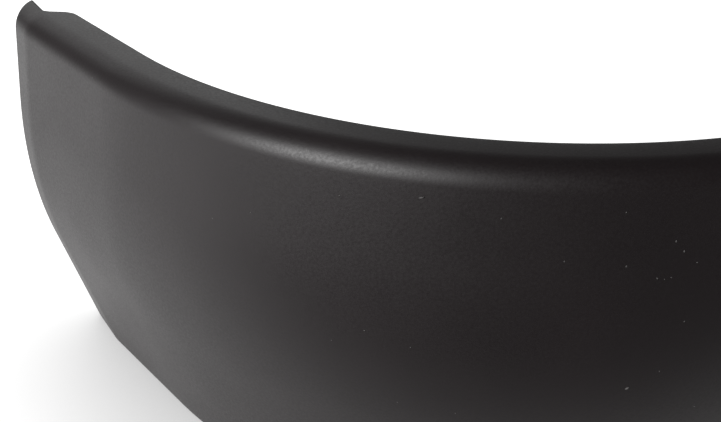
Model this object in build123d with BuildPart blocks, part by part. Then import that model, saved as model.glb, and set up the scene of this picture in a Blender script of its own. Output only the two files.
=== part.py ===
from build123d import *
import math
import os

# Bumper corner strip, moulded in one piece. Millimetres and degrees.
# A station is a distance along the plan path, counted from the side end of the face.
# In a section, u points out of the face and z points up from the floor.

# Section of the shell
strip_height = 100.0
wall = 2.8
bend_height = 56.3  # where the upper and lower faces would meet without the bend
lower_lean = 16.7  # the lower face tucks under by this angle
upper_lean = 6.0  # the upper face leans back by this angle
bend_radius = 107.0
shoulder_radius = 5.8
shoulder_land = 0.2  # flat behind the shoulder where there is no flange
flange_depth = 5.4  # flange behind the shoulder
lip_depth = 10.0
lip_radius = 1.5

# Plan path, seen from above, from the side end to the rear end
band_length = 8.0  # narrow end band, turned in from the face
band_bend_radius = 65.0
band_bend_length = 6.0
side_leg_length = 32.7
corner_radius = 132.6
corner_turn = 63.1
rear_leg_length = 210.0
rear_leg_radius = 1800.0

# Ends of the shell and of the top flange
end_cut_angle = 30.0  # the ends are cut this far from square, longer at the back
end_edge_radius = 0.8
flange_root_setback = 6.2  # where the flange leaves the shoulder, from the end of the face
flange_rear_setback = 12.8  # where its slanted end reaches the rear edge
flange_corner_radius = 2.0

# Stiffening ribs on the back
rib_count = 6
rib_thickness = 1.8
rib_waist = 8.0  # depth of a rib behind the wall at its middle
rib_end_setback = 26.0  # first and last rib, from the ends of the path
rib_edge_setback = 1.5  # ribs stop this far short of the flange's and lip's rear edges

# Snap clips, one pair of legs in each bay between two ribs
clip_height = 54.0
clip_width = 9.0
clip_gap = 7.0  # between the two legs
clip_leg_thickness = 2.2
clip_grip = 11.0  # wall to barb, the depth of the slot that it snaps into
barb_height = 1.6
barb_length = 6.0
barb_tip_taper = 0.8

# Locating pins on the rear leg
pin_height = 76.0
pin_radius = 3.0
pin_length = 14.0
pin_chamfer = 0.8
pin_boss_radius = 5.0
pin_boss_height = 3.0
pin_end_setback = 38.0  # from each end of the rear leg

tolerance = 1e-6  # stations closer than this are one
lower_angle = math.radians(lower_lean)
upper_angle = math.radians(upper_lean)
cut_angle = math.radians(end_cut_angle)


# Section geometry

def lower_face_u(z, inset):
    """The straight lower face, or the line that lies inset inside it."""
    return (z - bend_height) * math.tan(lower_angle) - inset / math.cos(lower_angle)


def upper_face_u(z, inset):
    """The straight upper face, or the line that lies inset inside it."""
    return (bend_height - z) * math.tan(upper_angle) - inset / math.cos(upper_angle)


def bend_corner(inset):
    """Where the upper and lower lines cross."""
    spread = 1 / math.cos(lower_angle) - 1 / math.cos(upper_angle)
    z = bend_height + inset * spread / (math.tan(lower_angle) + math.tan(upper_angle))
    return upper_face_u(z, inset), z


def bent_face_u(z):
    """The outer face on the soft bend between the two straight stretches."""
    corner_u, corner_z = bend_corner(0)
    run = bend_radius * math.tan((lower_angle + upper_angle) / 2)
    center_u = corner_u - run * math.sin(upper_angle) - bend_radius * math.cos(upper_angle)
    center_z = corner_z + run * math.cos(upper_angle) - bend_radius * math.sin(upper_angle)
    return center_u + math.sqrt(bend_radius**2 - (z - center_z) ** 2)


shoulder_run = shoulder_radius * math.tan((math.pi / 2 - upper_angle) / 2)
crest_u = upper_face_u(strip_height, 0) - shoulder_run
face_top_z = strip_height - shoulder_run * math.cos(upper_angle)
face_top_u = upper_face_u(face_top_z, 0)
flange_rear_u = crest_u - flange_depth
lip_rear_u = lower_face_u(0, 0) - lip_depth


def profile_points(inset, top_rear_u, lip_rear):
    """Corners of the profile inset inside the outer face, from the lip's rear to the top's rear."""
    return [
        (lip_rear, inset),
        (lower_face_u(inset, inset), inset),
        bend_corner(inset),
        (upper_face_u(strip_height - inset, inset), strip_height - inset),
        (top_rear_u, strip_height - inset),
    ]


def profile_radii(inset):
    """Radii of the lip's corner, the bend and the shoulder, inset inside the outer face."""
    return [max(radius - inset, 0) for radius in (lip_radius, bend_radius, shoulder_radius)]


# Plan path: each run has a station, a length, a radius (0 is straight), a start point and a heading

band_turn = math.degrees(band_bend_length / band_bend_radius)
run_out = (face_top_u - lip_rear_u) * math.tan(cut_angle) + wall  # spare length that the end cuts remove
corner_length = corner_radius * math.radians(corner_turn)
run_sizes = [
    (run_out + band_length, 0),
    (band_bend_length, band_bend_radius),
    (side_leg_length, 0),
    (corner_length, corner_radius),
    (rear_leg_length, rear_leg_radius),
    (band_bend_length, band_bend_radius),
    (band_length + run_out, 0),
]
path_length = sum(length for length, radius in run_sizes) - 2 * run_out
rear_leg_start = band_length + band_bend_length + side_leg_length + corner_length


def advance(x, y, heading, radius, distance):
    """Point and heading after a distance along a straight or a left-hand arc."""
    if radius == 0:
        return x + distance * math.cos(heading), y + distance * math.sin(heading), heading
    turned = heading + distance / radius
    across = radius * (math.sin(turned) - math.sin(heading))
    along = radius * (math.cos(heading) - math.cos(turned))
    return x + across, y + along, turned


def lay_path():
    """The runs in order. The rear leg starts along +X."""
    runs = []
    station = -run_out
    x, y, heading = 0.0, 0.0, -math.radians(corner_turn + band_turn)
    for length, radius in run_sizes:
        runs.append((station, length, radius, x, y, heading))
        x, y, heading = advance(x, y, heading, radius, length)
        station += length
    return runs


path_runs = lay_path()


def path_point(station):
    """Point and heading of the path at a station."""
    first, length, radius, x, y, heading = [run for run in path_runs if run[0] <= station + tolerance][-1]
    return advance(x, y, heading, radius, station - first)


def outward(heading):
    """Plan direction that points out of the face."""
    return math.sin(heading), -math.cos(heading)


def plan_point(station, u):
    """Plan position at a station, u out of the path."""
    x, y, heading = path_point(station)
    out_x, out_y = outward(heading)
    return x + u * out_x, y + u * out_y


def section_plane(station):
    """Upright plane across the path: its x is u and its y is z."""
    x, y, heading = path_point(station)
    back = (-math.cos(heading), -math.sin(heading), 0)
    return Plane(origin=(x, y, 0), x_dir=(*outward(heading), 0), z_dir=back)


def carry_shell(first, last, top_rear_u):
    """The shell's section carried from one station to another, straight or round each arc of the path."""
    for station, length, radius, x, y, heading in path_runs:
        start = max(first, station)
        stop = min(last, station + length)
        if stop - start < tolerance:
            continue
        with BuildSketch(section_plane(start)) as section:
            with BuildLine():
                outer = FilletPolyline(profile_points(0, top_rear_u, lip_rear_u), radius=profile_radii(0))
                inner = FilletPolyline(profile_points(wall, top_rear_u, lip_rear_u), radius=profile_radii(wall))
                Line(outer @ 0, inner @ 0)
                Line(outer @ 1, inner @ 1)
            make_face()
        if radius == 0:
            extrude(section.sketch, amount=stop - start, dir=(math.cos(heading), math.sin(heading), 0))
        else:
            out_x, out_y = outward(heading)
            center = (x - radius * out_x, y - radius * out_y, 0)
            revolve(section.sketch, axis=Axis(center, (0, 0, 1)), revolution_arc=math.degrees((stop - start) / radius))


def cut_flange_end(end_station, direction):
    """Slants the flange's end, from its root on the shoulder back to its rear edge, and rounds that corner."""
    root_station = end_station + direction * flange_root_setback
    rear_station = end_station + direction * flange_rear_setback
    root = plan_point(root_station, crest_u - shoulder_land)
    rear = plan_point(rear_station, flange_rear_u)
    past_rear = (2 * rear[0] - root[0], 2 * rear[1] - root[1])
    square_rear = plan_point(root_station - direction * wall, flange_rear_u - flange_depth)
    with BuildSketch(Plane.XY.offset(strip_height)) as corner_cut:
        with BuildLine():
            Polyline(root, past_rear, square_rear, close=True)
        make_face()
    extrude(corner_cut.sketch, amount=wall, both=True, mode=Mode.SUBTRACT)
    corner = Vector(rear[0], rear[1], strip_height - wall / 2)
    upright_edges = strip.edges().filter_by(Axis.Z)
    fillet(upright_edges.sort_by_distance(corner)[0], flange_corner_radius)


def cut_end(end_station, direction):
    """Cuts an end of the shell by an upright plane through the top of its face and rounds its outer edge."""
    heading = path_point(end_station)[2]
    out_x, out_y = outward(heading)
    past = -direction * math.cos(cut_angle)
    out = math.sin(cut_angle)
    normal = (past * math.cos(heading) + out * out_x, past * math.sin(heading) + out * out_y, 0)
    pivot = plan_point(end_station, face_top_u)
    cut = Plane(origin=(*pivot, 0), z_dir=normal)
    split(bisect_by=cut, keep=Keep.BOTTOM)
    end_face = strip.faces().filter_by(cut).sort_by_distance((*pivot, bend_height))[0]
    outside = (*plan_point(end_station, strip_height), bend_height)
    fillet(end_face.edges().sort_by_distance(outside)[0], end_edge_radius)


def add_rib(station):
    """An upright rib behind the wall, from the lip to the flange, with a scalloped rear edge."""
    overlap = wall / 2
    top_rear = flange_rear_u + rib_edge_setback
    lip_rear = lip_rear_u + rib_edge_setback
    waist = (bent_face_u(bend_height) - wall - rib_waist, bend_height)
    with BuildSketch(section_plane(station)) as rib:
        with BuildLine():
            front = FilletPolyline(profile_points(overlap, top_rear, lip_rear), radius=profile_radii(overlap))
            ThreePointArc(front @ 0, waist, front @ 1)
        make_face()
    extrude(rib.sketch, amount=rib_thickness / 2, both=True)


def add_clip(station):
    """Two springy legs that reach back from the wall and end in barbs facing away from each other."""
    wall_back = bent_face_u(clip_height) - wall
    root = wall_back + wall / 2
    grip = wall_back - clip_grip
    tip = grip - barb_length
    near = clip_gap / 2
    far = near + clip_leg_thickness
    leg = [(root, near), (root, far), (grip, far), (grip, far + barb_height), (tip, far - barb_tip_taper), (tip, near)]
    with BuildSketch(section_plane(station)) as legs:
        for side in (1, -1):
            with BuildLine():
                Polyline([(u, clip_height + side * reach) for u, reach in leg], close=True)
            make_face()
    extrude(legs.sketch, amount=clip_width / 2, both=True)


def pin_root(station):
    """Where a pin's axis meets the middle of the wall."""
    return (*plan_point(station, upper_face_u(pin_height, wall / 2)), pin_height)


def add_pin(station):
    """A chamfered locating pin on a round boss, drawn straight back along +Y."""
    root = pin_root(station)
    boss_top = wall / 2 + pin_boss_height
    tip = boss_top + pin_length
    with BuildSketch(Plane(origin=root, x_dir=(1, 0, 0), z_dir=(0, 0, 1))) as half:
        with BuildLine():
            Polyline(
                (0, 0),
                (pin_boss_radius, 0),
                (pin_boss_radius, boss_top),
                (pin_radius, boss_top),
                (pin_radius, tip - pin_chamfer),
                (pin_radius - pin_chamfer, tip),
                (0, tip),
                close=True,
            )
        make_face()
    revolve(half.sketch, axis=Axis(root, (0, 1, 0)))


with BuildPart() as strip:
    # Shell: plain shoulder at both ends, flange between
    carry_shell(-run_out, flange_root_setback, crest_u - shoulder_land)
    carry_shell(flange_root_setback, path_length - flange_root_setback, flange_rear_u)
    carry_shell(path_length - flange_root_setback, path_length + run_out, crest_u - shoulder_land)
    for end_station, direction in ((0, 1), (path_length, -1)):
        cut_flange_end(end_station, direction)
        cut_end(end_station, direction)

    # Back of the strip
    rib_step = (path_length - 2 * rib_end_setback) / (rib_count - 1)
    for index in range(rib_count):
        add_rib(rib_end_setback + index * rib_step)
    for index in range(rib_count - 1):
        add_clip(rib_end_setback + (index + 0.5) * rib_step)
    pin_stations = (rear_leg_start + pin_end_setback, rear_leg_start + rear_leg_length - pin_end_setback)
    for station in pin_stations:
        add_pin(station)

# The origin is on the floor, under the middle of the strip
middle = strip.part.bounding_box().center()
strip.part.locate(Location((-middle.X, -middle.Y, 0)))

os.makedirs("parts", exist_ok=True)
strip.part.label = "bumper_strip"
export_step(strip.part, "parts/bumper_strip.step")
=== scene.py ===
# %% [markdown]
# A bumper strip, dressed in Blender
#
# The real object is one injection moulding: a black plastic strip that wraps round the corner of a
# bumper. Its solid comes ready from the CAD frame. This lesson gives it a smooth skin, a moulded
# finish, a little dust and plain studio light. We load the frame first, because every later piece
# has to lie exactly where it lies.

# %% Load the frame
import math

import bmesh
import bpy
import numpy as np
from mathutils import Matrix, Vector
from mathutils.bvhtree import BVHTree


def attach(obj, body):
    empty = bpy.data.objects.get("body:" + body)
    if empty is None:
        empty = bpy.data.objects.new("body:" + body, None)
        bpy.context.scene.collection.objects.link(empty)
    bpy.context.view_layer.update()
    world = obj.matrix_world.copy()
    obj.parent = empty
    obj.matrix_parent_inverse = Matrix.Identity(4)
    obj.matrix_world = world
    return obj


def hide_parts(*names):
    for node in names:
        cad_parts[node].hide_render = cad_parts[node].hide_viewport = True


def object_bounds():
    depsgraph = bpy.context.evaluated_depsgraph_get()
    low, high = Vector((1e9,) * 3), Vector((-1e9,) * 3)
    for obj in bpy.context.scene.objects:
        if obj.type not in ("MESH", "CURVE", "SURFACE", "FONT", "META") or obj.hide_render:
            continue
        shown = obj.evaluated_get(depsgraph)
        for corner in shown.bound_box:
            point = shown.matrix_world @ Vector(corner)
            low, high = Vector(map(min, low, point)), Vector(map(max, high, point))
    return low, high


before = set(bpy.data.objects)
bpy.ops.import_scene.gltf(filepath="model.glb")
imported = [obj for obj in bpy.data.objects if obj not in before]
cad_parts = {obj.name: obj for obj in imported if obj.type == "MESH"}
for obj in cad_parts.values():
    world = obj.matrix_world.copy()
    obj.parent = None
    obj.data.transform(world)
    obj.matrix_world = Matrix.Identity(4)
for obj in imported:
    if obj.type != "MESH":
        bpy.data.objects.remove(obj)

cad_low, cad_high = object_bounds()
STRIP_HEIGHT = cad_high.z
print("CAD box in mm:", [round(1000 * size, 1) for size in cad_high - cad_low])

# %% [markdown]
# A walk along straights and arcs
#
# Both the strip's section and its plan are lines made of straight stretches and round bends.
# Blender has curve objects for this, but then the points could not be reached as numbers. So one
# small helper walks any such line: its heading is the curvature added up, and its position is the
# heading's cosine and sine added up.

# %% Walk helpers
WALK_STEP = 0.00005  # metres between the points that are added up


def fillet_runs(corners, radii):
    """Stretches of a polyline with rounded corners: (length, radius) pairs, where radius 0 is straight.

    At a corner that turns by an angle, the arc's tangent points lie radius times the tangent of half
    the angle away from it, and the arc is radius times the angle long.
    """
    corners = np.asarray(corners, float)
    sides = np.diff(corners, axis=0)
    lengths = np.hypot(sides[:, 0], sides[:, 1])
    headings = np.unwrap(np.arctan2(sides[:, 1], sides[:, 0]))
    turns = np.diff(headings)
    cut = np.concatenate([[0], np.asarray(radii) * np.tan(turns / 2), [0]])
    straights = lengths - cut[:-1] - cut[1:]
    arcs = np.asarray(radii) * turns
    runs = [(straights[0], 0.0)]
    for straight, arc, radius in zip(straights[1:], arcs, radii):
        runs += [(arc, radius), (straight, 0.0)]
    return runs


def walk(runs, heading):
    """Distance, x, y and heading all along a line of (length, radius) runs that starts at the
    origin.
    """
    lengths = np.array([length for length, radius in runs])
    bends = np.array([1 / radius if radius else 0.0 for length, radius in runs])
    counts = np.ceil(lengths / WALK_STEP).astype(int)
    step = np.repeat(lengths / counts, counts)
    turned = heading + np.concatenate([[0], np.cumsum(np.repeat(bends, counts) * step)])
    middle = (turned[1:] + turned[:-1]) / 2
    distance = np.concatenate([[0], np.cumsum(step)])
    x = np.concatenate([[0], np.cumsum(np.cos(middle) * step)])
    y = np.concatenate([[0], np.cumsum(np.sin(middle) * step)])
    return distance, x, y, turned


# %% [markdown]
# The section
#
# Cut through, the strip is a thin wall. From the floor up it has a short lip, a lower face that
# tucks under, a soft bend, an upper face that leans back a little, a rolled shoulder and a flat
# flange on top. Here u points out of the face and z points up. The inner side needs no drawing of
# its own: it is the outer side moved in by the wall, along the normal.

# %% Section sizes and profile
WALL = 0.0028
BEND_HEIGHT = 0.0563
LOWER_LEAN = math.radians(16.7)
UPPER_LEAN = math.radians(6.0)
BEND_RADIUS = 0.107
SHOULDER_RADIUS = 0.0058
SHOULDER_LAND = 0.0002
FLANGE_DEPTH = 0.0060
LIP_DEPTH = 0.010
LIP_RADIUS = 0.0015
REAR_EDGE_RADIUS = 0.00025
FLANGE_CROWN = 0.00040  # how far the flange falls towards its rear edge

lip_corner_u = -BEND_HEIGHT * math.tan(LOWER_LEAN)
lip_rear_u = lip_corner_u - LIP_DEPTH
top_corner_u = -(STRIP_HEIGHT - BEND_HEIGHT) * math.tan(UPPER_LEAN)
crest_u = top_corner_u - SHOULDER_RADIUS * math.tan((math.pi / 2 - UPPER_LEAN) / 2)
flange_rear_u = crest_u - FLANGE_DEPTH
land_rear_u = crest_u - SHOULDER_LAND

section_corners = [
    (lip_rear_u, 0),
    (lip_corner_u, 0),
    (0, BEND_HEIGHT),
    (top_corner_u, STRIP_HEIGHT),
    (flange_rear_u, STRIP_HEIGHT),
]
section_runs = fillet_runs(section_corners, [LIP_RADIUS, BEND_RADIUS, SHOULDER_RADIUS])
section_length, section_u, section_z, section_heading = walk(section_runs, 0.0)
section_u = section_u + lip_rear_u

SECTION_COUNTS = (5, 8, 12, 18, 10, 26, 6)  # faces along each run, from the lip to the flange
run_ends = np.concatenate([[0], np.cumsum([length for length, radius in section_runs])])
run_spans = zip(run_ends, run_ends[1:], SECTION_COUNTS)
section_at = np.concatenate(
    [np.linspace(a, b, count, endpoint=False) for a, b, count in run_spans] + [run_ends[-1:]]
)
profile_u = np.interp(section_at, section_length, section_u)
profile_z = np.interp(section_at, section_length, section_z)
profile_angle = np.interp(section_at, section_length, section_heading) - math.pi / 2
flange_first = int(np.sum(SECTION_COUNTS[:-1]))  # the first profile point that lies on the flange
face_top_u = profile_u[int(np.sum(SECTION_COUNTS[:5]))]
print("section:", len(section_at), "points, shoulder crest at", round(1000 * crest_u, 2), "mm")

# %% [markdown]
# The plan
#
# Seen from above, a narrow end band, a short side leg, the round corner and a long, slightly bowed
# rear leg follow one another. The far end repeats the near one.

# %% Plan path
BAND_LENGTH = 0.0075
BAND_TURN = math.radians(7.6)
BAND_BEND_LENGTH = 0.0035
BAND_LEAD = 0.0030  # straight stretch before the bend
SIDE_LEG_LENGTH = 0.0327
CORNER_RADIUS = 0.1326
CORNER_TURN = math.radians(63.1)
REAR_LEG_LENGTH = 0.210
REAR_LEG_RADIUS = 1.800
END_CUT = math.tan(math.radians(31.7))  # how far the ends slant along the path, for each unit of u
RUN_OUT = 0.015  # spare path past each end, for the slanted ends

plan_runs = [
    (RUN_OUT + BAND_LENGTH, 0.0),
    (BAND_BEND_LENGTH, BAND_BEND_LENGTH / BAND_TURN),
    (BAND_LEAD, 0.0),
    (SIDE_LEG_LENGTH, 0.0),
    (CORNER_RADIUS * CORNER_TURN, CORNER_RADIUS),
    (REAR_LEG_LENGTH, REAR_LEG_RADIUS),
    (BAND_LEAD, 0.0),
    (BAND_BEND_LENGTH, BAND_BEND_LENGTH / BAND_TURN),
    (BAND_LENGTH + RUN_OUT, 0.0),
]
plan_heading = -(CORNER_TURN + BAND_TURN)
plan_distance, plan_x, plan_y, plan_turn = walk(plan_runs, plan_heading)
plan_station = plan_distance - RUN_OUT
FACE_LENGTH = plan_distance[-1] - 2 * RUN_OUT
rear_leg_start = sum(length for length, radius in plan_runs[:5]) - RUN_OUT


def on_plan(station, u, z):
    """Points of the strip: the path's point at the station, moved u along its outward direction,
    at height z.
    """
    x = np.interp(station, plan_station, plan_x)
    y = np.interp(station, plan_station, plan_y)
    turn = np.interp(station, plan_station, plan_turn)
    return np.stack([x + u * np.sin(turn), y - u * np.cos(turn), z + 0 * x], axis=-1)


print("path:", round(1000 * FACE_LENGTH, 1), "mm along the face")

# %% [markdown]
# From numbers to a mesh
#
# A grid of points becomes a mesh when each square of four neighbours becomes a face. Two helpers do
# that for all pieces: one joins rows of points into faces, and one makes the object, turns its
# faces outwards, puts it on its body and gives it its material.

# %% Mesh helpers


def grid_faces(rows, columns, closed):
    """Faces between neighbours in a grid of points, row by row. Closed joins the last column to
    the first.
    """
    row = np.arange(rows - 1)[:, None]
    column = np.arange(columns if closed else columns - 1)[None, :]
    following = (column + 1) % columns
    corners = [row * columns + column, row * columns + following]
    corners += [(row + 1) * columns + following, (row + 1) * columns + column]
    return np.stack(corners, axis=-1).reshape(-1, 4)


def make_piece(name, points, faces, material):
    """A smooth mesh object at the origin, riding on the part's body and standing for its CAD node."""
    mesh = bpy.data.meshes.new(name)
    mesh.from_pydata(np.asarray(points).reshape(-1, 3).tolist(), [], [list(face) for face in faces])
    solid = bmesh.new()
    solid.from_mesh(mesh)
    bmesh.ops.remove_doubles(solid, verts=solid.verts, dist=1e-7)
    bmesh.ops.recalc_face_normals(solid, faces=solid.faces)
    solid.to_mesh(mesh)
    solid.free()
    mesh.shade_smooth()
    mesh.materials.append(material)
    piece = bpy.data.objects.new(name, mesh)
    bpy.context.scene.collection.objects.link(piece)
    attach(piece, "root")
    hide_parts("bumper_strip")
    print(name, "has", len(mesh.vertices), "points and", len(mesh.polygons), "faces")
    return piece


# %% [markdown]
# The finish
#
# The strip is satin black: dyed right through, with a fine spark-eroded grain from the mould. The
# grain breaks up the highlight on the shoulder, so it is a bump at its real scale, under a
# millimetre. The tone and the gloss also drift a little over the face, as on every handled
# moulding.

# %% Satin black plastic


def add_node(tree, kind, **settings):
    """A shader node with its properties and its inputs' values set by name."""
    node = tree.nodes.new(kind)
    for key, value in settings.items():
        if key in node.inputs:
            node.inputs[key].default_value = value
        else:
            setattr(node, key, value)
    return node


def noise_ramp(tree, coordinate, scale, detail, low, high):
    """Noise at a scale per metre, spread over a range of values from low to high."""
    noise = add_node(tree, "ShaderNodeTexNoise", Scale=scale, Detail=detail)
    tree.links.new(coordinate, noise.inputs["Vector"])
    spread = tree.nodes.new("ShaderNodeMapRange")
    spread.inputs["From Min"].default_value = 0.3
    spread.inputs["From Max"].default_value = 0.7
    spread.inputs["To Min"].default_value = low
    spread.inputs["To Max"].default_value = high
    tree.links.new(noise.outputs["Fac"], spread.inputs["Value"])
    return spread.outputs["Result"]


def satin_black():
    material = bpy.data.materials.new("satin_black_plastic")
    material.use_nodes = True
    tree = material.node_tree
    shader = tree.nodes["Principled BSDF"]
    shader.inputs["Specular IOR Level"].default_value = 0.5
    coordinate = add_node(tree, "ShaderNodeTexCoord").outputs["Object"]

    tone = noise_ramp(tree, coordinate, 28.0, 4.0, 0.0, 1.0)
    colour = tree.nodes.new("ShaderNodeMix")
    colour.data_type = "RGBA"
    colour.inputs[6].default_value = (0.0095, 0.0068, 0.0074, 1)
    colour.inputs[7].default_value = (0.0125, 0.0090, 0.0098, 1)
    tree.links.new(tone, colour.inputs[0])
    tree.links.new(colour.outputs[2], shader.inputs["Base Color"])

    drift = noise_ramp(tree, coordinate, 45.0, 5.0, 0.44, 0.48)
    sparkle = noise_ramp(tree, coordinate, 1900.0, 2.0, -0.05, 0.05)
    gloss = add_node(tree, "ShaderNodeMath", operation="ADD")
    tree.links.new(drift, gloss.inputs[0])
    tree.links.new(sparkle, gloss.inputs[1])
    tree.links.new(gloss.outputs[0], shader.inputs["Roughness"])

    grain = noise_ramp(tree, coordinate, 1500.0, 2.0, 0.0, 1.0)
    bump = add_node(tree, "ShaderNodeBump", Strength=0.15, Distance=0.00004)
    tree.links.new(grain, bump.inputs["Height"])
    tree.links.new(bump.outputs["Normal"], shader.inputs["Normal"])
    return material


black_plastic = satin_black()
print("finish:", black_plastic.name)

# %% [markdown]
# The shell
#
# The shell is the section carried along the plan, as a closed loop: up the outside, round the
# flange's rear edge, down the inside and round the lip's rear edge. Three things change on the way.
# The ends are cut on a slant, so there the loop leans. The flange runs out towards the ends. And
# the moulding's outer end edges are rounded, so the last rows of the loop draw in along a quarter
# circle.

# %% Shell: stations and flange
FLANGE_ROOT_SETBACK = 0.0062
FLANGE_REAR_SETBACK = 0.0128
FLANGE_CORNER_ROUNDING = 0.0007  # how far the rounding reaches on each side of the flange's rear corner
END_EDGE_RADIUS = 0.0008
INNER_EDGE_RADIUS = 0.0003
LEAN_LENGTH = 0.0060  # the slant of an end has faded out this far from it
EDGE_ROWS = 7

edge_angle = np.linspace(math.pi / 2, 0, EDGE_ROWS)
edge_rows = END_EDGE_RADIUS * (1 - np.sin(edge_angle))
near_rows = np.arange(END_EDGE_RADIUS, 0.018, 0.0004)[1:]
middle_rows = np.linspace(0.018, FACE_LENGTH - 0.018, 270)
first_rows = np.concatenate([edge_rows, near_rows])
station_rows = np.concatenate([first_rows, middle_rows, FACE_LENGTH - first_rows[::-1]])
from_end = np.minimum(station_rows, FACE_LENGTH - station_rows)
outer_inset = END_EDGE_RADIUS - np.sqrt(
    np.maximum(END_EDGE_RADIUS**2 - np.maximum(END_EDGE_RADIUS - from_end, 0) ** 2, 0)
)
inner_inset = INNER_EDGE_RADIUS - np.sqrt(
    np.maximum(INNER_EDGE_RADIUS**2 - np.maximum(INNER_EDGE_RADIUS - from_end, 0) ** 2, 0)
)
near_lean = np.maximum(1 - station_rows / LEAN_LENGTH, 0)
far_lean = np.maximum(1 - (FACE_LENGTH - station_rows) / LEAN_LENGTH, 0)
lean = near_lean - far_lean


def flange_rear(distance):
    """The flange's rear edge at a distance from the end: a slant from its root, and a rounded
    corner.
    """
    along = (distance - FLANGE_ROOT_SETBACK) / (FLANGE_REAR_SETBACK - FLANGE_ROOT_SETBACK)
    slant = land_rear_u + (flange_rear_u - land_rear_u) * along
    spread = FLANGE_CORNER_ROUNDING / 2
    corner = flange_rear_u + spread * np.log1p(np.exp(np.clip((slant - flange_rear_u) / spread, -40, 40)))
    return np.minimum(corner, land_rear_u)


rear_edge = flange_rear(from_end)
print("shell:", len(station_rows), "rows, flange", round(1000 * (crest_u - rear_edge.min()), 2), "mm deep")

# %% [markdown]
# Now the loop itself. The flange's points are shared out between the crest and the rear edge of
# each row, and the two rear edges get a small rounding, four points a side.

# %% Shell: points and faces
EDGE_POINTS = 4


def rear_edge_points(u, top_z, bottom_z, radius):
    """A rounded rear edge that faces -u, from its top to its bottom: two quarter circles of a
    radius.
    """
    turn = np.linspace(0, math.pi / 2, EDGE_POINTS)[None, :]
    u = u[:, None]
    upper_u = u + radius * (1 - np.sin(turn))
    upper_z = top_z[:, None] - radius * (1 - np.cos(turn))
    lower_u = u + radius * (1 - np.cos(turn))
    lower_z = bottom_z[:, None] + radius * (1 - np.sin(turn))
    return np.concatenate([upper_u, lower_u], axis=1), np.concatenate([upper_z, lower_z], axis=1)


rows = len(station_rows)
share = (profile_u[flange_first:] - crest_u) / (flange_rear_u - crest_u)
loop_u = np.repeat(profile_u[None, :], rows, axis=0)
loop_u[:, flange_first:] = crest_u + share * (rear_edge[:, None] + REAR_EDGE_RADIUS - crest_u)
loop_u[:, 0] += REAR_EDGE_RADIUS
loop_z = np.repeat(profile_z[None, :], rows, axis=0)
loop_z[:, flange_first:] -= FLANGE_CROWN * ((crest_u - loop_u[:, flange_first:]) / FLANGE_DEPTH) ** 2
normal_u = np.cos(profile_angle)[None, :]
normal_z = np.sin(profile_angle)[None, :]
outer_u = loop_u - outer_inset[:, None] * normal_u
outer_z = loop_z - outer_inset[:, None] * normal_z
inner_depth = WALL - inner_inset[:, None]
inner_z = np.maximum(loop_z - inner_depth * normal_z, inner_depth)
inner_u = loop_u - inner_depth * normal_u
inner_lip_u = lip_corner_u + inner_depth * (math.tan(LOWER_LEAN) - 1 / math.cos(LOWER_LEAN))
beside_lip = (loop_z < BEND_HEIGHT / 2) & (inner_z <= inner_depth)
inner_u = np.where(beside_lip, np.minimum(inner_u, inner_lip_u), inner_u)
flange_edge_u, flange_edge_z = rear_edge_points(rear_edge, outer_z[:, -1], inner_z[:, -1], REAR_EDGE_RADIUS)
lip_rear = lip_rear_u + 0 * rear_edge
lip_edge_u, lip_edge_z = rear_edge_points(lip_rear, inner_z[:, 0], outer_z[:, 0], REAR_EDGE_RADIUS)

shell_u = np.concatenate([outer_u, flange_edge_u[:, 1:-1], inner_u[:, ::-1], lip_edge_u[:, 1:-1]], axis=1)
shell_z = np.concatenate([outer_z, flange_edge_z[:, 1:-1], inner_z[:, ::-1], lip_edge_z[:, 1:-1]], axis=1)
shell_station = station_rows[:, None] + lean[:, None] * END_CUT * (shell_u - face_top_u)
shell_points = on_plan(shell_station, shell_u, shell_z)
plan_middle = (shell_points.min(axis=(0, 1)) + shell_points.max(axis=(0, 1))) / 2
cad_middle = np.array((cad_low + cad_high) / 2)
to_frame = np.array([cad_middle[0] - plan_middle[0], cad_middle[1] - plan_middle[1], 0])
shell_points = shell_points + to_frame

loop_size = shell_points.shape[1]
outer_size = len(profile_u)
edge_size = 2 * EDGE_POINTS - 2
shell_faces = grid_faces(rows, loop_size, closed=True)[:, ::-1].tolist()


def end_cap(first):
    """Faces that close an end of the shell, between its outer and inner points, from the lip to
    the flange.
    """
    outer = first + np.arange(outer_size)
    inner = first + outer_size + edge_size + outer_size - 1 - np.arange(outer_size)
    wall_faces = np.stack([outer[:-1], outer[1:], inner[1:], inner[:-1]], axis=-1).tolist()
    flange_face = list(range(first + outer_size - 1, first + outer_size + edge_size + 1))
    lip_face = list(range(first + loop_size - edge_size - 1, first + loop_size)) + [first]
    return wall_faces + [flange_face, lip_face]


shell_faces += end_cap(0)
shell_faces += [face[::-1] for face in end_cap((rows - 1) * loop_size)]
shell = make_piece("strip_shell", shell_points, shell_faces, black_plastic)

# %% [markdown]
# Ribs behind the wall
#
# A thin moulding is kept stiff by ribs on its hidden side. Each is a plate across the strip, from
# the lip to the flange, with a scalloped rear edge. The mould rounds the corner where a rib leaves
# the wall, so the plate widens along a quarter circle there. The surface is a loop round the plate,
# carried along the section.

# %% Ribs
RIB_COUNT = 6
RIB_THICKNESS = 0.0018
RIB_WAIST = 0.008
RIB_END_SETBACK = 0.026
RIB_EDGE_SETBACK = 0.0015
RIB_ROOT_RADIUS = 0.0008
RIB_CREST = 0.0006  # depth of the rounding on a rib's rear edge
RIB_ROWS = 64

rib_step = (FACE_LENGTH - 2 * RIB_END_SETBACK) / (RIB_COUNT - 1)
section_angle = section_heading - math.pi / 2
bend_face_u = np.interp(BEND_HEIGHT, section_z, section_u)


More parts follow.
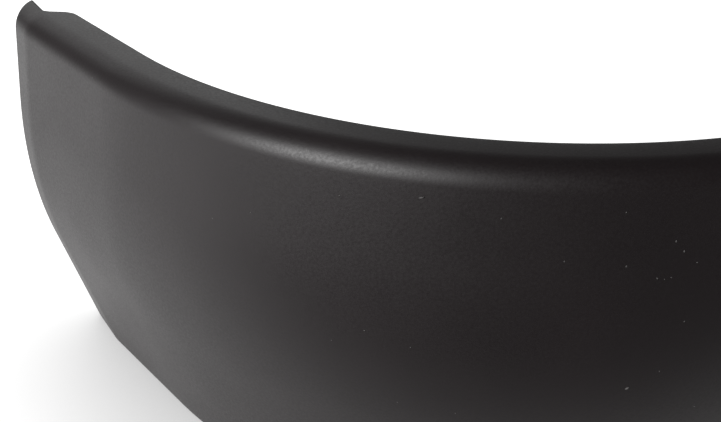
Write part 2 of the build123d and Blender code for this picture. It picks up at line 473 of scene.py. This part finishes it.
def arc_through(start, middle, end, count):
    """Points on the circle through three points, from the start to the end."""
    sides = 2 * np.array([np.subtract(middle, start), np.subtract(end, start)])
    squares = np.array([np.dot(middle, middle), np.dot(end, end)]) - np.dot(start, start)
    center = np.linalg.solve(sides, squares)
    first, last = [math.atan2(*(np.subtract(point, center)[::-1])) for point in (start, end)]
    half_way = math.atan2(*(np.subtract(middle, center)[::-1]))
    angles = np.unwrap([first, half_way, last])
    angle = np.linspace(angles[0], angles[-1], count)
    radius = np.hypot(*np.subtract(start, center))
    return np.stack([center[0] + radius * np.cos(angle), center[1] + radius * np.sin(angle)], axis=-1)


def rib_plate():
    """A rib as (u, z) points and sideways offsets: rows from the lip to the flange, columns round
    the plate.
    """
    along = np.linspace(RIB_EDGE_SETBACK, section_length[-1] - RIB_EDGE_SETBACK, RIB_ROWS)
    front_u = np.interp(along, section_length, section_u - WALL / 2 * np.cos(section_angle))
    front_z = np.interp(along, section_length, section_z - WALL / 2 * np.sin(section_angle))
    front = np.stack([front_u, front_z], axis=-1)
    waist = np.array([bend_face_u - WALL - RIB_WAIST, BEND_HEIGHT])
    rear = arc_through(front[0], waist, front[-1], RIB_ROWS)
    front, rear = front[2:-2, None], rear[2:-2, None]
    depth = np.linalg.norm(rear - front, axis=-1, keepdims=True)
    crest = np.minimum(RIB_CREST, depth / 3)
    share = np.linspace(0, 1, 14)[None, :, None] ** 1.6
    cap = np.linspace(0, math.pi / 2, 5)[None, 1:, None]
    reach = np.concatenate([share * (depth - crest), depth - crest + crest * np.sin(cap)], axis=1)
    from_wall = np.clip(reach - WALL / 2, 0, RIB_ROOT_RADIUS)
    flare = RIB_ROOT_RADIUS - np.sqrt(RIB_ROOT_RADIUS**2 - (RIB_ROOT_RADIUS - from_wall) ** 2)
    narrow = np.concatenate([1 + 0 * share, np.cos(cap)], axis=1)
    half = (RIB_THICKNESS / 2 + flare) * narrow
    points = front + (rear - front) * reach / depth
    left = np.concatenate([points, half], axis=-1)
    right = np.concatenate([points, -half], axis=-1)[:, -2::-1]
    return np.concatenate([left, right], axis=1)


def stand_across(plate, station):
    """A plate of (u, z, sideways) points set across the path at a station."""
    turn = np.interp(station, plan_station, plan_turn)
    points = on_plan(np.full(plate.shape[:-1], station), plate[..., 0], plate[..., 1]) + to_frame
    return points + plate[..., 2:] * np.array([math.cos(turn), math.sin(turn), 0])


plate = rib_plate()
rib_stations = RIB_END_SETBACK + rib_step * np.arange(RIB_COUNT)
rib_points = np.stack([stand_across(plate, station) for station in rib_stations])
plate_rows, plate_columns = plate.shape[:2]
plate_faces = grid_faces(plate_rows, plate_columns, closed=True).tolist()
plate_faces += [list(range(plate_columns))[::-1]]
plate_faces += [list(range((plate_rows - 1) * plate_columns, plate_rows * plate_columns))]


def repeat_faces(faces, points_each, count):
    """The same faces for each of a number of equal groups of points."""
    return [[index + group * points_each for index in face] for group in range(count) for face in faces]


make_piece(
    "back_ribs", rib_points, repeat_faces(plate_faces, plate_rows * plate_columns, RIB_COUNT), black_plastic
)

# %% [markdown]
# Snap clips
#
# Between the ribs, pairs of springy legs reach back and end in barbs, which snap into slots in the
# bumper. A leg's side view is one outline, with rounded corners where it leaves the wall. It is
# carried across the leg's width, and a Bevel modifier breaks the sharp edges as the mould does.

# %% Clips
CLIP_HEIGHT = 0.054
CLIP_WIDTH = 0.009
CLIP_GAP = 0.007
CLIP_LEG = 0.0022
CLIP_GRIP = 0.011
BARB_HEIGHT = 0.0016
BARB_LENGTH = 0.006
BARB_TIP_TAPER = 0.0008
CLIP_ROOT_RADIUS = 0.0009
CLIP_EDGE = 0.00022

clip_wall_u = np.interp(CLIP_HEIGHT, section_z, section_u) - WALL


def clip_outline():
    """A leg from the side, as (u, distance from the clip's middle height), round from the wall to
    the wall.
    """
    near = CLIP_GAP / 2
    far = near + CLIP_LEG
    root = clip_wall_u + WALL / 2
    grip = clip_wall_u - CLIP_GRIP
    tip = grip - BARB_LENGTH
    turn = np.linspace(0, math.pi / 2, 6)
    arc_u = clip_wall_u - CLIP_ROOT_RADIUS * (1 - np.cos(turn))
    arc_reach = CLIP_ROOT_RADIUS * (1 - np.sin(turn))
    near_root = np.stack([arc_u, near - arc_reach], axis=-1)
    far_root = np.stack([arc_u, far + arc_reach], axis=-1)[::-1]
    barb = [(tip, near), (tip, far - BARB_TIP_TAPER), (grip, far + BARB_HEIGHT), (grip, far)]
    ends = [[(root, near - CLIP_ROOT_RADIUS)], near_root, barb, far_root, [(root, far + CLIP_ROOT_RADIUS)]]
    return np.concatenate([np.asarray(stretch) for stretch in ends])


outline = clip_outline()
clip_legs = []
for index in range(RIB_COUNT - 1):
    station = RIB_END_SETBACK + (index + 0.5) * rib_step
    for side in (1, -1):
        flat_leg = np.stack([outline[:, 0], CLIP_HEIGHT + side * outline[:, 1], 0 * outline[:, 0]], axis=-1)
        across = np.array([-CLIP_WIDTH / 2, CLIP_WIDTH / 2])[:, None, None] * np.array([0, 0, 1])
        clip_legs.append(stand_across(flat_leg[None] + across, station))
outline_size = len(outline)
leg_faces = grid_faces(2, outline_size, closed=True).tolist()
leg_faces += [list(range(outline_size))[::-1], list(range(outline_size, 2 * outline_size))]
clip_faces = repeat_faces(leg_faces, 2 * outline_size, len(clip_legs))
clips = make_piece("snap_clips", clip_legs, clip_faces, black_plastic)
edge = clips.modifiers.new("moulded_edges", "BEVEL")
edge.width = CLIP_EDGE
edge.segments = 2
edge.limit_method = "ANGLE"
edge.angle_limit = math.radians(35)

# %% [markdown]
# Locating pins
#
# Two round pins on the rear leg find their holes before the clips snap in. Each stands on a boss
# and is turned from one profile, with rounded steps.

# %% Pins
PIN_HEIGHT = 0.076
PIN_RADIUS = 0.003
PIN_LENGTH = 0.014
PIN_CHAMFER = 0.0008
PIN_BOSS_RADIUS = 0.005
PIN_BOSS_HEIGHT = 0.003
PIN_END_SETBACK = 0.038
PIN_STEP_RADIUS = 0.0005
PIN_SIDES = 48

boss_top = WALL / 2 + PIN_BOSS_HEIGHT
pin_tip = boss_top + PIN_LENGTH
quarter = np.linspace(0, math.pi / 2, 5)
round_out = PIN_STEP_RADIUS * (1 - np.cos(quarter))
round_in = PIN_STEP_RADIUS * (1 - np.sin(quarter))
boss_edge = np.stack([PIN_BOSS_RADIUS - round_out, boss_top - round_in], axis=-1)
pin_foot = np.stack([PIN_RADIUS + round_in, boss_top + round_out], axis=-1)
pin_profile = np.concatenate(
    [
        [(PIN_BOSS_RADIUS, 0)],
        boss_edge,
        pin_foot,
        [(PIN_RADIUS, pin_tip - 1.2 * PIN_CHAMFER), (PIN_RADIUS, pin_tip - PIN_CHAMFER)],
        [(PIN_RADIUS - PIN_CHAMFER, pin_tip), (PIN_RADIUS - 1.3 * PIN_CHAMFER, pin_tip)],
    ]
)


def turned_pin(station):
    """A profile of (radius, distance) points turned about a line along +Y from the middle of the
    wall.
    """
    wall_u = np.interp(PIN_HEIGHT, section_z, section_u) - WALL / 2 / math.cos(UPPER_LEAN)
    root = on_plan(np.array([station]), np.array([wall_u]), PIN_HEIGHT)[0] + to_frame
    angle = np.arange(PIN_SIDES) * 2 * math.pi / PIN_SIDES
    radius, distance = pin_profile[:, :1], pin_profile[:, 1:]
    ring = [radius * np.cos(angle), distance + 0 * angle, radius * np.sin(angle)]
    return root + np.stack(ring, axis=-1)


pin_stations = [rear_leg_start + PIN_END_SETBACK, rear_leg_start + REAR_LEG_LENGTH - PIN_END_SETBACK]
pin_points = [turned_pin(station) for station in pin_stations]
pin_rows = len(pin_profile)
pin_faces = grid_faces(pin_rows, PIN_SIDES, closed=True).tolist()
pin_faces += [list(range(PIN_SIDES))[::-1]]
pin_faces += [list(range((pin_rows - 1) * PIN_SIDES, pin_rows * PIN_SIDES))]
make_piece("locating_pins", pin_points, repeat_faces(pin_faces, pin_rows * PIN_SIDES, 2), black_plastic)

# %% [markdown]
# The camera
#
# The photograph looks down on the side end from close by. Its position and tilt come from the
# strip's own outline: they are the values at which the section and the plan above fall on the
# outline in the picture.

# %% Camera
IMAGE_WIDTH = 721
IMAGE_HEIGHT = 422
FOCAL_PIXELS = 1103.5
SENSOR_WIDTH = 36.0
CAMERA_PLACE = np.array([-0.1507, -0.2224, 0.1902])
CAMERA_PITCH = math.radians(29.76)
CAMERA_TURN = math.radians(11.72)  # clockwise from +Y, seen from above
CAMERA_ROLL = math.radians(-0.09)

camera_right = np.array([math.cos(CAMERA_TURN), -math.sin(CAMERA_TURN), 0])
camera_away = np.array([math.sin(CAMERA_TURN), math.cos(CAMERA_TURN), 0])

camera_data = bpy.data.cameras.new("camera")
camera_data.sensor_fit = "HORIZONTAL"
camera_data.sensor_width = SENSOR_WIDTH
camera_data.lens = FOCAL_PIXELS / IMAGE_WIDTH * SENSOR_WIDTH
camera_data.clip_start = 0.005
camera = bpy.data.objects.new("camera", camera_data)
bpy.context.scene.collection.objects.link(camera)
camera_turn = (
    Matrix.Rotation(-CAMERA_TURN, 4, "Z")
    @ Matrix.Rotation(math.pi / 2 - CAMERA_PITCH, 4, "X")
    @ Matrix.Rotation(-CAMERA_ROLL, 4, "Z")
)
camera.matrix_world = Matrix.Translation(Vector(CAMERA_PLACE)) @ camera_turn
bpy.context.scene.camera = camera
print("camera at", np.round(1000 * CAMERA_PLACE, 1), "mm, lens", round(camera_data.lens, 1), "mm")

# %% [markdown]
# Dust
#
# A little dust lies on the face and there is one small nick under the shoulder. Each speck is a
# flat lens, and it is placed where it is in the picture: a ray from the camera through that pixel
# meets the shell. Where the picture does not reach, the same thin sprinkling goes on at random.

# %% Dust
DUST_RADIUS = 0.00028
DUST_SIDES = 8
DUST_SPARE = 70  # specks on the stretch outside the picture
NICK_PIXEL = (421.3, 197.3)
DUST_PIXELS = [
    ((92, 77), 0.9), ((140, 268), 0.8), ((212, 218), 0.8), ((250, 212), 0.7),
    ((339, 195), 0.8), ((331, 340), 0.7), ((364, 330), 0.8), ((410, 347), 0.7),
    ((397, 402), 0.8), ((455, 413), 0.8), ((501, 218), 0.8), ((564, 261), 0.7),
    ((626, 212), 0.7), ((626, 266), 0.9), ((676, 241), 1.0), ((684, 251), 1.1),
    ((697, 262), 0.8), ((657, 278), 0.9), ((664, 279), 0.6), ((671, 277), 0.7),
    ((684, 321), 0.8), ((627, 388), 2.0), ((659, 371), 0.9), ((694, 406), 0.8),
]


def pale_dust():
    material = bpy.data.materials.new("pale_dust")
    material.use_nodes = True
    shader = material.node_tree.nodes["Principled BSDF"]
    shader.inputs["Base Color"].default_value = (0.10, 0.095, 0.095, 1)
    shader.inputs["Roughness"].default_value = 0.85
    return material


def speck(place, normal, length, width, height, turn):
    """Points of a flat lens on the surface: a top, a bottom under the skin and an oval ring,
    turned by an angle.
    """
    normal = np.asarray(normal)
    across = np.cross((0, 0, 1), normal)
    across = across / np.linalg.norm(across)
    up = np.cross(normal, across)
    angle = np.arange(DUST_SIDES) * 2 * math.pi / DUST_SIDES
    along_u, along_v = length * np.cos(angle), width * np.sin(angle)
    ring_u = along_u * math.cos(turn) - along_v * math.sin(turn)
    ring_v = along_u * math.sin(turn) + along_v * math.cos(turn)
    ring = np.asarray(place) + ring_u[:, None] * across + ring_v[:, None] * up
    return np.concatenate([ring, [place + height * normal, place - height * normal]])


def pixel_on_shell(pixel):
    """Place and outward normal where a ray through a pixel meets the shell."""
    across = (pixel[0] + 0.5 - IMAGE_WIDTH / 2) / FOCAL_PIXELS
    up = (IMAGE_HEIGHT / 2 - pixel[1] - 0.5) / FOCAL_PIXELS
    ray = camera_turn.to_3x3() @ Vector((across, up, -1))
    place, normal, face, distance = shell_tree.ray_cast(Vector(CAMERA_PLACE), ray)
    return np.array(place), np.array(normal) * (-1 if normal.dot(ray) > 0 else 1)


shell_tree = BVHTree.FromPolygons(shell_points.reshape(-1, 3).tolist(), shell_faces)
scatter = np.random.default_rng(7)
specks = []
for pixel, size in DUST_PIXELS:
    place, normal = pixel_on_shell(pixel)
    radius = size * DUST_RADIUS
    specks.append(speck(place, normal, radius, 0.6 * radius, 0.25 * radius, scatter.uniform(0, math.pi)))
place, normal = pixel_on_shell(NICK_PIXEL)
specks.append(speck(place, normal, 0.00065, 0.0002, 0.00012, 0.25))
spare_stations = scatter.uniform(0.22, FACE_LENGTH, DUST_SPARE)
spare_rows = scatter.integers(14, 60, DUST_SPARE)
for station, row in zip(spare_stations, spare_rows):
    turn = np.interp(station, plan_station, plan_turn)
    tilt = profile_angle[row]
    place = on_plan(np.array([station]), profile_u[row], profile_z[row])[0] + to_frame
    normal = np.array([math.cos(tilt) * math.sin(turn), -math.cos(tilt) * math.cos(turn), math.sin(tilt)])
    radius = DUST_RADIUS * scatter.uniform(0.5, 1.1)
    specks.append(speck(place, normal, radius, 0.6 * radius, 0.25 * radius, scatter.uniform(0, math.pi)))
ring = np.arange(DUST_SIDES)
following = (ring + 1) % DUST_SIDES
speck_faces = np.stack([ring, following, np.full(DUST_SIDES, DUST_SIDES)], axis=-1).tolist()
speck_faces += np.stack([following, ring, np.full(DUST_SIDES, DUST_SIDES + 1)], axis=-1).tolist()
make_piece("dust_specks", specks, repeat_faces(speck_faces, DUST_SIDES + 2, len(specks)), pale_dust())

# %% [markdown]
# Floor and light
#
# The strip stands on white paper. Black plastic shows little of its own colour, so its look is
# mostly what it mirrors: white paper at the shallow angles on the left, paper on the right with a
# shade painted into its colour and glow towards the camera, one soft lamp to the left of the camera
# that lies along the shoulder, and pale panels behind that lie on the flange. The paper's glow stands
# for the light of a bright room, so it is dimmed where the strip stands in that light's way.

# %% Paper floor
FLOOR_SIZE = 5.0
PAPER_WHITE = 0.62
PAPER_GLOW = 0.75
PAPER_FAR_GLOW = 0.35  # added to the glow in the distance
PAPER_FAR = (0.26, 0.42)  # distances in front of the camera between which that part grows
# The paper's shade towards the camera is painted into its colour and glow here; no lamp casts it.
PAINTED_SHADE_CENTER = (0.06, -0.90, 0.0)  # the camera's own soft shade on the paper, beside and behind its foot
PAINTED_SHADE_LIMITS = (1.01, 1.115)  # distances from there between which the paper gets out of the shade
PAINTED_PAPER_SHADE = 0.12
PAPER_CONTACT = 0.055  # how far the strip's soft shade reaches over the paper


def math_node(tree, operation, first, second):
    """A Math node on two values, each a socket or a number."""
    node = add_node(tree, "ShaderNodeMath", operation=operation)
    for socket, value in zip(node.inputs, (first, second)):
        if isinstance(value, (int, float)):
            socket.default_value = value
        else:
            tree.links.new(value, socket)
    return node.outputs[0]


def distance_ramp(tree, distance, limits, low, high):
    """A soft step from low to high between two distances."""
    ramp = tree.nodes.new("ShaderNodeMapRange")
    ramp.interpolation_type = "SMOOTHSTEP"
    for name, value in zip(("From Min", "From Max", "To Min", "To Max"), (*limits, low, high)):
        ramp.inputs[name].default_value = value
    tree.links.new(distance, ramp.inputs["Value"])
    return ramp.outputs["Result"]


def paper_with_painted_shade():
    """Paper that the camera and mirrors see as white, with a shade painted into its colour and glow towards
    the camera, and that takes the strip's shadow: cast on its diffuse part, and painted into its glow by
    ambient occlusion.
    """
    material = bpy.data.materials.new("paper_with_painted_shade")
    material.use_nodes = True
    tree = material.node_tree
    tree.nodes.remove(tree.nodes["Principled BSDF"])
    place = tree.nodes.new("ShaderNodeSeparateXYZ")
    coordinate = add_node(tree, "ShaderNodeTexCoord").outputs["Object"]
    tree.links.new(coordinate, place.inputs[0])
    from_shade = add_node(tree, "ShaderNodeVectorMath", operation="DISTANCE")
    from_shade.inputs[1].default_value = PAINTED_SHADE_CENTER
    tree.links.new(coordinate, from_shade.inputs[0])
    # Painted shade: this ramp darkens the paper's glow and colour towards the camera.
    near = distance_ramp(tree, from_shade.outputs["Value"], PAINTED_SHADE_LIMITS, PAINTED_PAPER_SHADE, 1.0)
    far = distance_ramp(tree, place.outputs["Y"], PAPER_FAR, 0.0, PAPER_FAR_GLOW)

    open_sky = add_node(tree, "ShaderNodeAmbientOcclusion", Distance=PAPER_CONTACT).outputs["AO"]
    glow = math_node(tree, "MULTIPLY", math_node(tree, "MULTIPLY", near, open_sky), PAPER_GLOW)
    glow = math_node(tree, "ADD", glow, far)
    paths = tree.nodes.new("ShaderNodeLightPath").outputs
    seen = math_node(tree, "MAXIMUM", paths["Is Camera Ray"], paths["Is Glossy Ray"])
    seen = math_node(tree, "MAXIMUM", seen, paths["Is Transmission Ray"])
    emission = tree.nodes.new("ShaderNodeEmission")
    tree.links.new(math_node(tree, "MULTIPLY", glow, seen), emission.inputs["Strength"])

    paper = tree.nodes.new("ShaderNodeBsdfDiffuse")
    tree.links.new(math_node(tree, "MULTIPLY", near, PAPER_WHITE), paper.inputs["Color"])
    both = tree.nodes.new("ShaderNodeAddShader")
    tree.links.new(emission.outputs[0], both.inputs[0])
    tree.links.new(paper.outputs[0], both.inputs[1])
    tree.links.new(both.outputs[0], tree.nodes["Material Output"].inputs["Surface"])
    return material


def paper_floor():
    """A flat square of paper, laid with its own origin under the camera and its Y away from it."""
    half = FLOOR_SIZE / 2
    side = np.array([-half, half])
    x, y = np.meshgrid(side, side)
    points = np.stack([x, y, 0 * x], axis=-1).reshape(-1, 3)
    mesh = bpy.data.meshes.new("paper_floor")
    mesh.from_pydata(points.tolist(), [], grid_faces(2, 2, closed=False).tolist())
    mesh.materials.append(paper_with_painted_shade())
    floor = bpy.data.objects.new("paper_floor", mesh)
    floor.location = (CAMERA_PLACE[0], CAMERA_PLACE[1], 0)
    floor.rotation_euler = (0, 0, -CAMERA_TURN)
    bpy.context.scene.collection.objects.link(floor)
    return floor


paper_floor()

# %% Lamps and room
ROOM_GREY = 0.045


def soft_lamp(name, azimuth, elevation, distance, width, height, radiance, target):
    """An area lamp at angles seen from the target. Azimuth 0 is on the camera's side and grows rightwards.

    Its power is its radiance times pi times its area, so that its size can change without changing its tone.
    """
    azimuth, elevation = math.radians(azimuth), math.radians(elevation)
    level = math.sin(azimuth) * camera_right - math.cos(azimuth) * camera_away
    towards = math.cos(elevation) * level + math.sin(elevation) * np.array([0, 0, 1])
    lamp = bpy.data.lights.new(name, "AREA")
    lamp.shape = "RECTANGLE"
    lamp.size = width
    lamp.size_y = height
    lamp.energy = radiance * math.pi * width * height
    lamp_object = bpy.data.objects.new(name, lamp)
    bpy.context.scene.collection.objects.link(lamp_object)
    place = Vector(np.asarray(target) + distance * towards)
    turn = Vector(-towards).to_track_quat("-Z", "Y").to_matrix().to_4x4()
    lamp_object.matrix_world = Matrix.Translation(place) @ turn
    return lamp_object


lamp_target = on_plan(np.array([0.115]), np.array([0.0]), STRIP_HEIGHT)[0] + to_frame
soft_lamp("front_left_lamp", -46.5, 20.5, 1.0, 0.55, 0.56, 14.0, lamp_target)
soft_lamp("back_left_panel", -153, 22, 1.2, 1.0, 0.9, 1.0, lamp_target)
soft_lamp("back_right_panel", 170, 20, 1.2, 0.8, 0.8, 0.2, lamp_target)

world = bpy.data.worlds.new("room")
world.use_nodes = True
world.node_tree.nodes["Background"].inputs["Color"].default_value = (ROOM_GREY, ROOM_GREY, ROOM_GREY, 1)
bpy.context.scene.world = world
bpy.context.scene.view_settings.view_transform = "Standard"
print("lamps:", [light.name for light in bpy.data.lights])
